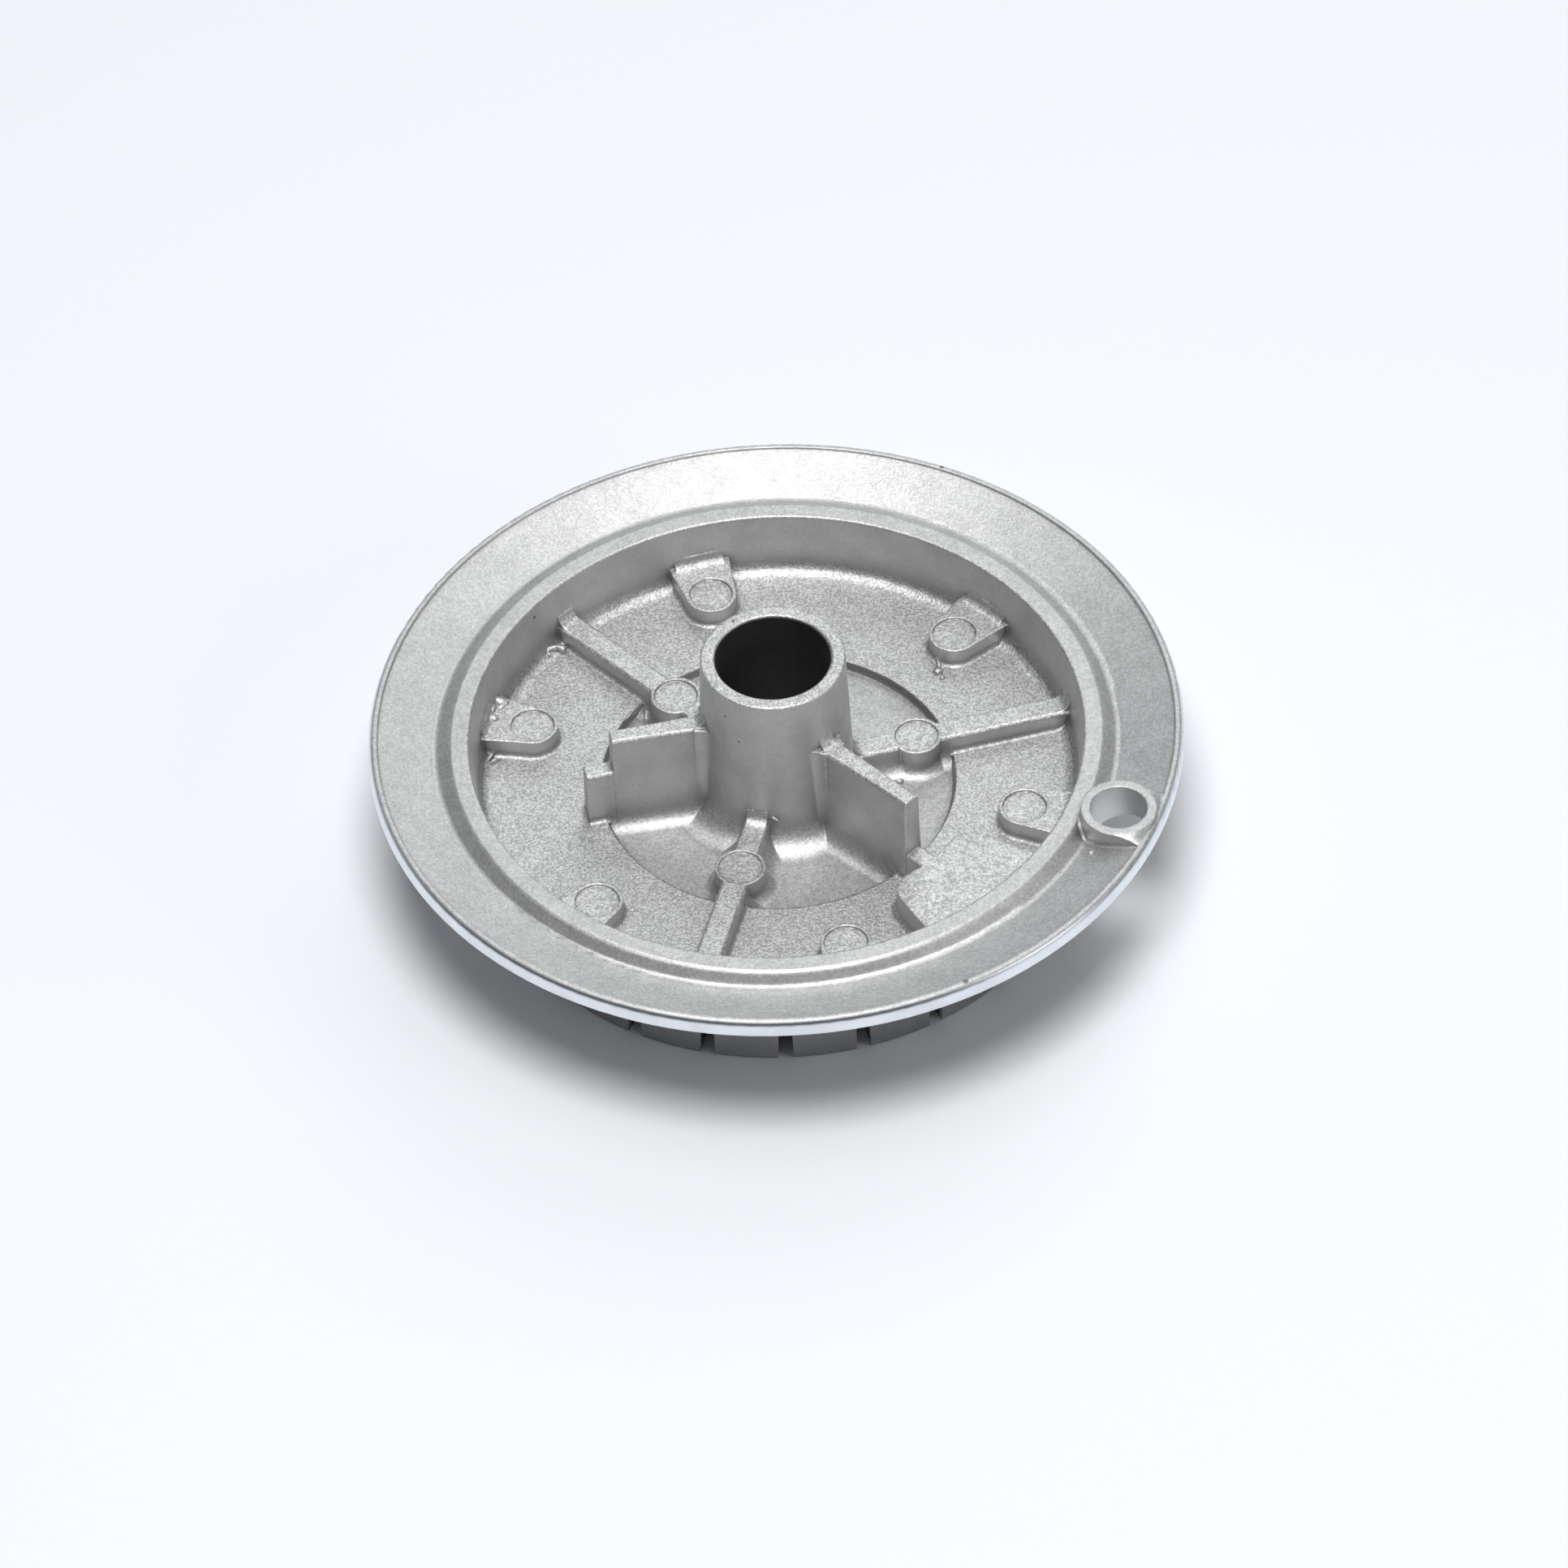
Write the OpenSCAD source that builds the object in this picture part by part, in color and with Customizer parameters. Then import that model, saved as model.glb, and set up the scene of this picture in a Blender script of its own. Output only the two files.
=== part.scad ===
// Burner head of a large gas hob burner, cast in one piece in aluminium.
// It stands upside down on its crown of flame slots, with the venturi tube up.
// z = 0 is the face of the crown, where the cap seats, and the tube is on the Z axis.
// Seen from the front, the igniter hole is at the right.

/* [Flange] */
// Outer diameter of the flange
flange_d = 100; // [94:0.5:110]
// Height of the lip over the collar's top
lip_over_collar = 1.2; // [0.6:0.1:3]
// Thickness of the flange
flange_t = 2.4; // [1.6:0.1:3.2]
// Radius under the flange, where it meets the body
under_r = 2; // [0.8:0.1:3]
// Radius of the rolled outer edge
edge_r = 1.2; // [0.8:0.05:1.5]
// Width of the raised lip
lip_w = 0.6; // [0.4:0.05:1]
// Height of the step on the lip's inner side
lip_step = 0.3; // [0.15:0.05:0.5]
// How far the lip stays back from the rolled edge
lip_setback = 0.45; // [0.3:0.05:0.6]

/* [Recess and collar] */
// Diameter of the recess at the collar's top
recess_d = 75.5; // [72:0.5:79]
// Depth of the recess below the collar's top
recess_depth = 8.2; // [6:0.1:12]
// Draft of the recess wall in degrees
wall_draft = 7; // [2:0.5:9]
// Width of the collar's flat top
collar_w = 2.2; // [1.4:0.1:3]
// Height of the collar's top over the crease at its foot
collar_h = 1.3; // [0.8:0.1:2]
// Radial run of the collar's sloping outer side
collar_run = 1.9; // [1:0.1:3]
// Thickness of the recess wall
wall_t = 2.2; // [1.6:0.1:3]
// Radius in the corner between the recess wall and its floor
wall_fillet = 2; // [0.8:0.1:2.6]
// Diameter of the sunk disc round the tube
disc_d = 43.8; // [40:0.2:48]
// Depth of the sunk disc
disc_step = 1.1; // [0.6:0.1:1.6]
// How far the disc's edge slopes in from top to bottom
disc_run = 0.4; // [0.1:0.05:0.5]

/* [Venturi tube] */
// Outer diameter of the tube at its top
tube_d = 17.8; // [16.8:0.1:20]
// Bore of the tube
bore_d = 14.2; // [12:0.1:14.8]
// Height of the tube's top over the lip
tube_over_lip = 12; // [6:0.5:18]
// Draft of the tube's outside in degrees
tube_draft = 1.8; // [0.5:0.1:3]
// Radius at the tube's foot
tube_fillet = 3.8; // [1:0.1:4.4]
// Radius of the flared outlet into the gas chamber
flare_r = 3; // [1:0.1:4]

/* [Ribs and bosses] */
// Number of ribs, each with a boss
rib_n = 3; // [2:1:4]
// Direction of the first rib in degrees
rib_turn = 13.4; // [0:0.1:30]
// Width of a rib's top
rib_w = 3.2; // [2:0.1:4]
// Height of the ribs over the recess floor
rib_h = 2.5; // [1.5:0.1:4]
// Distance of the bosses from the axis
boss_reach = 17.75; // [16:0.25:18]
// Diameter of a boss
boss_d = 6.2; // [5:0.1:7]
// Radius along the foot of a boss
boss_foot_r = 1.6; // [0.4:0.1:2]
// Radius at a rib's outer end, where it meets the recess wall
rib_end_r = 1.4; // [0.4:0.1:2]

/* [Ejector pads] */
// Number of pads along the recess wall
pad_n = 6; // [3:1:8]
// Direction of the first pad in degrees
pad_turn = 43.6; // [35:0.1:52]
// Distance from the recess wall to a pad's centre
pad_setback = 5.5; // [5:0.1:7]
// Diameter of a pad
pad_d = 6.3; // [5.6:0.1:7]
// How far a pad's tongue widens to each side at the wall
pad_flare = 0.9; // [0.2:0.1:1.5]
// Radius between a tongue's top and the wall
pad_end_r = 1.3; // [0.4:0.1:2]
// Diameter of the ejector pin's mark on pads and bosses
pin_d = 5.4; // [4:0.1:5.6]
// Depth of the pin's mark
pin_mark = 0.25; // [0.1:0.05:0.5]

/* [Vanes] */
// Thickness of a vane at its outer end, at the top
vane_t = 2.2; // [1.6:0.1:3]
// How much thicker a vane is at the tube
vane_swell = 0.6; // [0.2:0.05:1]
// Height of the vanes over the recess floor
vane_h = 12.9; // [8:0.1:16]
// Direction of the stepped vane in degrees
step_vane_turn = 191; // [180:0.5:200]
// Reach of the stepped vane's tall part from the axis
step_vane_reach = 20.6; // [16:0.2:21]
// Length of its low step
step_len = 3.4; // [1:0.1:6]
// Height of its low step over the recess floor
step_h = 7.6; // [3:0.1:8]
// Direction of the straight vane in degrees
vane_turn = 313.3; // [305:0.1:320]
// Reach of the straight vane from the axis
vane_reach = 23.4; // [22.4:0.2:24.6]
// Radius where a vane meets the tube
root_r = 2; // [1:0.1:3]

/* [Raised block] */
// Angle from the straight vane to the block's middle
block_skew = 1; // [-2:0.1:2]
// Angle that the block spans
block_span = 29.5; // [20:0.5:34]
// Distance of the block's inner side from the axis
block_reach = 26.2; // [25.6:0.1:28]
// Height of the block over the recess floor
block_h = 4.1; // [2:0.1:6]
// Radius of its inner corners
block_r = 3; // [1:0.1:3.5]
// Radius along its foot
block_foot_r = 1; // [0.3:0.1:1.5]

/* [Crown] */
// Outer diameter of the crown
crown_d = 73.4; // [70:0.2:76]
// Thickness of the crown's wall
crown_t = 4.6; // [3:0.1:7]
// Depth of the gas chamber below the crown's face
chamber_depth = 8.7; // [8:0.1:12]
// Radius in the chamber's corner
chamber_fillet = 1; // [0.4:0.1:2]
// Thickness of the plate between the chamber and the recess
plate_t = 2.2; // [1.6:0.1:3]
// Number of flame slots
slot_n = 24; // [16:1:28]
// Direction of the first flame slot in degrees
slot_turn = -90.8; // [-97:0.1:-84]
// Width of a flame slot at the crown's face
slot_w = 1.9; // [1.2:0.1:2.6]
// Depth of a flame slot
slot_depth = 7; // [4:0.1:7.4]
// Height of the plain wall over the slots
shoulder_h = 0.6; // [0.3:0.1:1]
// Height of the shoulder that slopes in to the body
shoulder_run = 1.2; // [0.6:0.1:2]

/* [Igniter hole] */
// Diameter of the hole for the igniter
igniter_d = 7; // [5:0.1:7.4]
// Wall of the boss round the hole
igniter_wall = 1.15; // [0.8:0.05:1.3]
// Height of the boss over the lip
igniter_over_lip = 0.7; // [0.2:0.1:2]
// How far the boss stays back from the lip's outer side
igniter_setback = 0.3; // [0.1:0.05:0.6]
// Direction of the hole in degrees
igniter_turn = -22.6; // [-28:0.1:-20]

/* [Edges] */
// Draft of ribs, vanes and slots in degrees
draft = 1.5; // [0.5:0.1:3]
// Radius along the foot of ribs, pads and vanes on the recess floor
foot_r = 0.6; // [0.3:0.05:1]
// Radius along the foot of ribs and vanes on the sunk disc
disc_foot_r = 2.4; // [0.6:0.1:2.6]
// Radius on the top edges
top_r = 0.3; // [0.15:0.05:0.4]

/* [Hidden] */
cast = "#bdbdb9";
$fn = 96;
// Overlap between pieces that are joined, and excess of what is cut away
lap = 0.6;
// A circle that is cut away is larger by this factor, so that it clears the outline's corners
loose = 1.01;
// Width of a foot's floor, as a factor on its radius
skirt = 1.05;
// Most that a foot takes of the height of a wall
foot_share = 0.9;
// Walls on the sunk disc end this far inside its edge
disc_lap = 0.1;
// How deep walls, pads and the block start in the tube and end in the recess wall
bury = 0.8;
// The seam of the turned surfaces lies this many slots on from the first
seam_slot = 10.5;

// Levels
plate_z = chamber_depth + plate_t;
disc_z = plate_z - disc_step;
hub_z = chamber_depth - disc_step;
collar_z = plate_z + recess_depth;
crease_z = collar_z - collar_h;
lip_z = collar_z + lip_over_collar;
tube_z = lip_z + tube_over_lip;
rib_z = plate_z + rib_h;
vane_z = plate_z + vane_h;

// Radii
flange_r = flange_d / 2;
lip_r = flange_r - lip_setback;
recess_r = recess_d / 2;
foot_wall_r = recess_r - recess_depth * tan(wall_draft);
collar_r = recess_r + collar_w;
crease_r = collar_r + collar_run;
disc_r = disc_d / 2;
tube_r = tube_d / 2;
tube_foot_r = tube_r + (tube_z - disc_z) * tan(tube_draft);
crown_r = crown_d / 2;
chamber_r = crown_r - crown_t;
body_r = foot_wall_r + wall_t;
face_slope = (lip_z - lip_step - crease_z) / (lip_r - lip_w - crease_r);
igniter_r = igniter_d / 2 + igniter_wall;
igniter_reach = lip_r - igniter_setback - igniter_r;
pad_reach = foot_wall_r - pad_setback;

// Small runs and drops of the round section
body_run = 0.6;
edge_chamfer = 0.6;
edge_drop = 0.15;
edge_h = 1.6 * edge_r;
lip_run = 0.1;
crease_fillet = 1;
hub_run = 0.6;
// Radii at the tube on the tops of ribs and vanes
rib_root_r = 1.5;
vane_root_r = 1.2;
// A vane's second wall and its low wall are thinner to each side than the first, and the
// second is shorter, to end inside it
swell_inset = 0.05;
swell_back = 0.3;
// The raised block's foot starts inside its sides, and at the corners it stands out a little
// more and turns on a little further than the straight feet that it meets
foot_inset = 0.05;
corner_over = 0.08;
corner_turn = 2;

bar_start = bore_d / 2 + bury;
bar_end = recess_r + bury;

// Level of the flange's crown side at radius r
function flange_under(r) = crease_z - flange_t + face_slope * (r - crease_r);
// Radius of the tube's outside at level z
function tube_at(z) = tube_r + (tube_z - z) * tan(tube_draft);
// Radius of the recess wall at level z
function wall_at(z) = foot_wall_r + (z - plate_z) * tan(wall_draft);
// Unit vector from p to q
function toward(p, q) = (q - p) / norm(q - p);
// Tangent length, bisector and arc centre at corner p between a and b, for radius r
function half_angle(p, a, b) = acos(toward(p, a) * toward(p, b)) / 2;
function touch(p, a, b, r) = p + toward(p, a) * r / tan(half_angle(p, a, b));
function arc_centre(p, a, b, r) =
    p + toward([0, 0], toward(p, a) + toward(p, b)) * r / sin(half_angle(p, a, b));
// Whether the corner p of an outline that runs anticlockwise from a to b is hollow
function hollow(p, a, b) = cross(p - a, b - p) < 0;

// Outline through corners [r, z, radius], anticlockwise, where a radius of 0 stays sharp.
// At a hollow corner the outline detours by the arc's centre, and the circle is cut away there.
module rounded(corners) {
    n = len(corners);
    at = [for (c = corners) [c[0], c[1]]];
    before = [for (i = [0 : n - 1]) at[(i + n - 1) % n]];
    after = [for (i = [0 : n - 1]) at[(i + 1) % n]];
    round_r = [for (c = corners) c[2]];
    path = [for (i = [0 : n - 1])
        each round_r[i] > 0 && hollow(at[i], before[i], after[i])
            ? [
                touch(at[i], before[i], after[i], round_r[i]),
                arc_centre(at[i], before[i], after[i], round_r[i]),
                touch(at[i], after[i], before[i], round_r[i])
            ]
            : [at[i]]
    ];
    difference() {
        polygon(path);
        for (i = [0 : n - 1]) if (round_r[i] > 0) {
            if (hollow(at[i], before[i], after[i]))
                translate(arc_centre(at[i], before[i], after[i], round_r[i])) circle(round_r[i] * loose);
            else corner_cut(at[i], before[i], after[i], round_r[i]);
        }
    }
}

// What is cut away to round the sharp corner p by radius r
module corner_cut(p, a, b, r) {
    u = toward(p, a);
    v = toward(p, b);
    centre = arc_centre(p, a, b, r);
    // Outward normals of the two sides
    nu = toward(centre, touch(p, a, b, r));
    nv = toward(centre, touch(p, b, a, r));
    difference() {
        polygon([
            centre,
            touch(p, a, b, r) + lap * nu,
            p + lap * (nu + nv) / (1 + nu * nv),
            touch(p, b, a, r) + lap * nv
        ]);
        translate(centre) circle(r);
    }
}

// Half section of everything that is round about the axis
module section() rounded([
    // Crown and the body above it
    [chamber_r, 0, 0],
    [crown_r, 0, top_r],
    [crown_r, slot_depth + shoulder_h, 0],
    [body_r, slot_depth + shoulder_h + shoulder_run, 0],
    [body_r + body_run, flange_under(body_r + body_run), under_r],
    // Flange: crown side, rolled edge, lip and face
    [flange_r - edge_chamfer, flange_under(flange_r - edge_chamfer), 0],
    [flange_r, lip_z - edge_drop - edge_h, 0],
    [flange_r, lip_z - edge_drop, edge_r],
    [lip_r, lip_z, 0],
    [lip_r - lip_w, lip_z, 0],
    [lip_r - lip_w - lip_run, lip_z - lip_step, 0],
    [crease_r, crease_z, crease_fillet],
    // Collar and recess
    [collar_r, collar_z, top_r],
    [recess_r, collar_z, top_r],
    [foot_wall_r, plate_z, wall_fillet],
    [disc_r, plate_z, 0],
    [disc_r - disc_run, disc_z, 0],
    // Venturi tube
    [tube_foot_r, disc_z, tube_fillet],
    [tube_r, tube_z, top_r],
    [bore_d / 2, tube_z, top_r],
    [bore_d / 2, hub_z, flare_r],
    // Gas chamber
    [disc_r - hub_run, hub_z, 0],
    [disc_r, chamber_depth, 0],
    [chamber_r, chamber_depth, chamber_fillet]
]);
// The seam of the turned surfaces lies between two slots, clear of ribs, pads and vanes
module round_body() color(cast) rotate(slot_turn + seam_slot * 360 / slot_n) rotate_extrude() section();

// Half width at depth of a drafted wall whose top is w wide
function drafted(w, depth) = w / 2 + depth * tan(draft);

// Cross section of a bar that stands w wide and drafted on a floor, [across, z].
// The foot's radius gives way where the bar is too low for it.
module bar_section(w, base, top, foot) {
    base_w = drafted(w, top - base);
    bevel_w = drafted(w, top_r);
    foot_fit = min(foot, foot_share * (top - base - top_r));
    floor_w = base_w + skirt * foot_fit;
    rounded([
        [-floor_w, base - lap, 0],
        [floor_w, base - lap, 0],
        [floor_w, base, 0],
        [base_w, base, foot_fit],
        [bevel_w, top - top_r, 0],
        [w / 2 - top_r, top, 0],
        [-w / 2 + top_r, top, 0],
        [-bevel_w, top - top_r, 0],
        [-base_w, base, foot_fit],
        [-floor_w, base, 0]
    ]);
}

// The section, run out along a radius from r0 to r1
module bar(w, base, top, foot, r0, r1)
    translate([r0, 0, 0]) rotate([90, 0, 90]) linear_extrude(r1 - r0) bar_section(w, base, top, foot);

// Fillet of radius r between the top of a bar and the steep side that it runs into,
// at [side_r, top], where out is 1 on the tube and -1 on the recess wall
module end_fillet(w, side_r, top, r, out)
    translate([0, w / 2, 0]) rotate([90, 0, 0]) linear_extrude(w) difference() {
        polygon([
            [side_r - out * lap, top - lap],
            [side_r + out * r, top - lap],
            [side_r + out * r, top + r],
            [side_r - out * lap, top + r]
        ]);
        translate([side_r + out * r, top + r]) circle(r);
    }

// Foot of an upright side, added along its base at level base: [out from the side, z]
module foot_section(r, base) rounded([
    [-lap, base - lap, 0],
    [r * skirt, base - lap, 0],
    [r * skirt, base, 0],
    [0, base, r],
    [0, base + r * skirt, 0],
    [-lap, base + r * skirt, 0]
]);

// One rib with its boss, from the tube across the sunk disc to the recess wall
module rib() {
    flat_w = rib_w - 2 * top_r;
    bar(rib_w, disc_z, rib_z, disc_foot_r, bar_start, disc_r - disc_lap);
    bar(rib_w, plate_z, rib_z, foot_r, disc_r - disc_run, bar_end);
    end_fillet(flat_w, tube_at(rib_z), rib_z, rib_root_r, 1);
    end_fillet(flat_w, wall_at(rib_z), rib_z, rib_end_r, -1);
    translate([boss_reach, 0, 0]) {
        translate([0, 0, disc_z - lap]) cylinder(d = boss_d, h = rib_z - disc_z + lap);
        rotate_extrude() translate([boss_d / 2, 0]) foot_section(boss_foot_r, disc_z);
    }
}
module ribs() color(cast) for (i = [0 : rib_n - 1])
    rotate(rib_turn + i * 360 / rib_n) rib();

// One ejector pad: a disc on a tongue that widens into the recess wall
module pad() {
    tongue = bar_end - pad_reach;
    translate([pad_reach, 0, 0]) {
        translate([0, 0, plate_z - lap]) linear_extrude(rib_z - plate_z + lap) {
            circle(d = pad_d);
            polygon([
                [0, -pad_d / 2],
                [tongue, -pad_d / 2 - pad_flare],
                [tongue, pad_d / 2 + pad_flare],
                [0, pad_d / 2]
            ]);
        }
        rotate(90) rotate_extrude(angle = 180) translate([pad_d / 2, 0])
            foot_section(foot_r, plate_z);
        for (side = [0, 1]) mirror([0, side, 0])
            translate([0, pad_d / 2, 0]) rotate(atan2(pad_flare, tongue))
            rotate([90, 0, 90]) linear_extrude(tongue - disc_run) foot_section(foot_r, plate_z);
    }
    end_fillet(pad_d, wall_at(rib_z), rib_z, pad_end_r, -1);
}
module pads() color(cast) for (i = [0 : pad_n - 1])
    rotate(pad_turn + i * 360 / pad_n) pad();

// Upright fillet in the corner between the tube and the flank of a vane, which lies out
// by more than half the vane's thickness where the vane swells
module root_fillet(swell) {
    flank = drafted(vane_t, (vane_z - plate_z) / 2) + swell;
    side_r = tube_at(vane_z);
    cy = flank + root_r;
    cx = sqrt((side_r + root_r) ^ 2 - cy ^ 2);
    inner = (side_r - lap) / (side_r + root_r);
    translate([0, 0, disc_z - lap]) linear_extrude(vane_z - disc_z + lap) difference() {
        polygon([[side_r - lap, flank - lap], [cx, flank - lap], [cx, cy], [cx * inner, cy * inner]]);
        translate([cx, cy]) circle(root_r);
    }
}

// Inner part of a vane on the sunk disc, and its outer part on the recess floor.
// The inner part stands twice, turned about its outer end, so that it is thicker at the tube.
module vane(reach) {
    inner_end = min(reach, disc_r - disc_lap);
    swell_turn = asin(vane_swell / (inner_end - tube_r));
    bar(vane_t, disc_z, vane_z, disc_foot_r, bar_start, inner_end);
    if (reach > disc_r) bar(vane_t, plate_z, vane_z, foot_r, disc_r - disc_run, reach);
    translate([inner_end, 0, 0]) rotate(-swell_turn) translate([-inner_end, 0, 0])
        bar(vane_t - 2 * swell_inset, disc_z, vane_z, disc_foot_r, bar_start, inner_end - swell_back);
    translate([0, vane_swell / 2, 0]) end_fillet(
        vane_t + vane_swell - 2 * top_r - 2 * swell_inset, tube_at(vane_z), vane_z, vane_root_r, 1);
    root_fillet(vane_swell - swell_inset);
    mirror([0, 1, 0]) root_fillet(0);
}
// The low wall that runs on from a vane, a hair inside its flanks, from r0 to r1
module low_wall(h, r0, r1) {
    low_w = 2 * (drafted(vane_t, vane_z - plate_z - h) - swell_inset);
    if (r0 < disc_r) bar(low_w, disc_z, plate_z + h, disc_foot_r, r0, disc_r - disc_lap);
    bar(low_w, plate_z, plate_z + h, foot_r, max(r0, disc_r - disc_run), r1);
}
module vanes() color(cast) {
    rotate(step_vane_turn) {
        vane(step_vane_reach);
        low_wall(step_h, step_vane_reach - 1, step_vane_reach + step_len);
    }
    rotate(vane_turn) {
        mirror([0, 1, 0]) vane(vane_reach);
        low_wall(block_h, vane_reach - 1, block_reach + 1);
    }
}

// Corners of the raised block in plan, [x, y, radius], anticlockwise
function around(r, turn, radius) = [r * cos(turn), r * sin(turn), radius];
function block_corners() = let (half = block_span / 2) [
    around(block_reach, -half, block_r),
    around(bar_end, -half, 0),
    around(bar_end, 0, 0),
    around(bar_end, half, 0),
    around(block_reach, half, block_r),
    around(block_reach, 0, 0)
];
// Foot along the straight side from p to q, whose outer side is at the left
module foot_along(p, q)
    translate(p) rotate(atan2(q[1] - p[1], q[0] - p[0])) rotate([90, 0, 90])
    linear_extrude(norm(q - p)) translate([-foot_inset, 0])
    foot_section(block_foot_r + foot_inset, plate_z);
// Low block between the straight vane and the recess wall
module raised_block() color(cast) rotate(vane_turn + block_skew) {
    at = [for (c = block_corners()) [c[0], c[1]]];
    outer = touch(at[4], at[3], at[5], block_r);
    inner = touch(at[4], at[5], at[3], block_r);
    centre = arc_centre(at[4], at[3], at[5], block_r);
    start = atan2(outer[1] - centre[1], outer[0] - centre[0]) - corner_turn;
    span = 180 - 2 * half_angle(at[4], at[3], at[5]) + 2 * corner_turn;
    translate([0, 0, plate_z - lap]) linear_extrude(block_h + lap) rounded(block_corners());
    for (side = [0, 1]) mirror([0, side, 0]) {
        foot_along(outer, at[3]);
        translate(centre) rotate(start) rotate_extrude(angle = span)
            translate([block_r - foot_inset, 0])
            foot_section(block_foot_r + foot_inset + corner_over, plate_z);
        foot_along(at[5], inner);
    }
}

// Place of the igniter hole on the flange
module at_igniter() rotate(igniter_turn) translate([igniter_reach, 0, 0]) children();
// The boss rises from half way through the flange, so that its lower end follows the slope
module igniter_boss() color(cast) {
    near = igniter_reach - igniter_r - lap;
    far = igniter_reach + igniter_r + lap;
    top = lip_z + igniter_over_lip;
    intersection() {
        at_igniter() cylinder(r = igniter_r, h = top);
        rotate_extrude() polygon([
            [near, flange_under(near) + flange_t / 2],
            [far, flange_under(far) + flange_t / 2],
            [far, top + lap],
            [near, top + lap]
        ]);
    }
}

// Flame slots through the crown's wall, open at its face
module slots() {
    root_w = slot_w / 2 - slot_depth * tan(draft);
    for (i = [0 : slot_n - 1]) rotate(slot_turn + i * 360 / slot_n)
        translate([chamber_r - 2, 0, 0]) rotate([90, 0, 90]) linear_extrude(crown_t + 4)
        polygon([
            [-slot_w / 2 - lap * tan(draft), -lap],
            [slot_w / 2 + lap * tan(draft), -lap],
            [root_w, slot_depth],
            [-root_w, slot_depth]
        ]);
}

// Marks of the ejector pins in the tops of pads and bosses
module pin_marks() {
    for (i = [0 : pad_n - 1]) rotate(pad_turn + i * 360 / pad_n)
        translate([pad_reach, 0, rib_z - pin_mark]) cylinder(d = pin_d, h = pin_mark + lap);
    for (i = [0 : rib_n - 1]) rotate(rib_turn + i * 360 / rib_n)
        translate([boss_reach, 0, rib_z - pin_mark]) cylinder(d = pin_d, h = pin_mark + lap);
}

module igniter_hole() at_igniter() cylinder(d = igniter_d, h = tube_z);

module burner_head() difference() {
    union() {
        round_body();
        ribs();
        pads();
        vanes();
        raised_block();
        igniter_boss();
    }
    slots();
    pin_marks();
    igniter_hole();
}
burner_head();
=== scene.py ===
import math

import bpy
import numpy as np
from mathutils import Matrix, Vector


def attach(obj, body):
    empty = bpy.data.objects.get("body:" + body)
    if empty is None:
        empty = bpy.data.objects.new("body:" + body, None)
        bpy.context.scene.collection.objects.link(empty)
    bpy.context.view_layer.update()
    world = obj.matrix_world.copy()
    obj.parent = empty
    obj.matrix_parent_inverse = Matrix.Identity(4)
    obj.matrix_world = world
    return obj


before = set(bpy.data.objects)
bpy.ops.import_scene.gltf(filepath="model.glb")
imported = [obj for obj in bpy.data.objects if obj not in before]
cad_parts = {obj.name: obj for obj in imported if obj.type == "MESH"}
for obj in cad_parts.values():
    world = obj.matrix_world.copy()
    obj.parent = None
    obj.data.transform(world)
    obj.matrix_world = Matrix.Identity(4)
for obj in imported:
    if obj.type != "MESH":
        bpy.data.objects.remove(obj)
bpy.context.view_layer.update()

bl_info = {
    "name": "Gas burner head scene",
    "version": (1, 0, 0),
    "blender": (4, 5, 0),
    "location": "View3D > Sidebar > Burner",
    "description": "Finishes the cast burner head and sets it on a pale floor in soft studio light",
    "category": "Object",
}

MM = 0.001
HEAD = "burner_head"

# Radii and levels of the casting's top in mm: collar, crease, flange face, and the lip's two edges
TOP_R = (39.95, 41.85, 48.85, 48.95, 49.55)
TOP_Z = (19.1, 17.8, 20.0, 20.3, 20.3)
LIP_R = TOP_R[3]
LIP_Z = TOP_Z[4]

# The igniter hole's centre, the level of its boss's top and the radius of the sunk disc, in mm
IGNITER = np.array([41.175, -17.14])
BOSS_TOP = 21.0
DISC_R = 21.8

# Burrs left by the mould in mm: x, y, z, three half sizes, and the turn about Z in degrees
BURRS = np.array([
    (-27.3, 24.0, 11.3, 1.3, 0.45, 0.55, 15),
    (-26.0, 24.0, 11.2, 0.6, 0.5, 0.5, 60),
    (-27.9, 23.2, 11.2, 0.5, 0.3, 0.4, 130),
    (-17.3, 13.2, 10.75, 2.2, 0.25, 0.45, 52),
    (-16.0, 13.5, 9.9, 1.6, 0.25, 0.6, 90),
    (-34.3, 13.4, 13.4, 1.1, 0.6, 0.45, 158),
    (-35.0, 11.9, 13.4, 1.3, 0.6, 0.55, 75),
    (-34.9, 10.4, 13.4, 0.9, 0.55, 0.45, 150),
    (-33.6, 12.5, 13.35, 1.0, 0.5, 0.3, 40),
    (-33.7, 13.6, 13.3, 0.6, 0.45, 0.4, 100),
    (-35.1, 6.0, 11.2, 1.0, 0.22, 0.45, 60),
    (-34.8, 5.1, 11.1, 0.8, 0.2, 0.4, 20),
    (20.5, 19.2, 11.0, 1.9, 0.35, 0.55, 92),
    (20.4, 17.4, 11.0, 0.65, 0.6, 0.45, 0),
    (20.9, 16.3, 10.95, 0.4, 0.3, 0.3, 30),
    (-0.85, -9.427, 13.762, 0.9, 0.16, 0.3, -35),
    (15.2, 1.8, 11.9, 0.18, 0.25, 1.4, 0),
    (14.9, -0.3, 9.95, 0.6, 0.35, 0.35, 0),
    (37.6, -21.9, 18.2, 0.5, 0.35, 0.4, 60),
])

# How far a burr's outline swells and shrinks, as a share of its size
BURR_WOBBLE = 0.15

# Pits in the skin, painted as dark spots of shade, in mm: x, y, z and radius, and the share of the radius
# that is fully dark
PIT_SHADES = (
    (-4.65, 6.53, 32.3, 0.3),
    (-6.13, -6.67, 29.11, 0.26),
    (-4.61, -7.99, 25.85, 0.3),
    (-29.3, 23.5, 17.5, 0.35),
    (22.2, 44.1, 20.3, 0.45),
    (21.4, -44.3, 20.3, 0.5),
)
PIT_SHADE_CORE = 0.4

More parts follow.
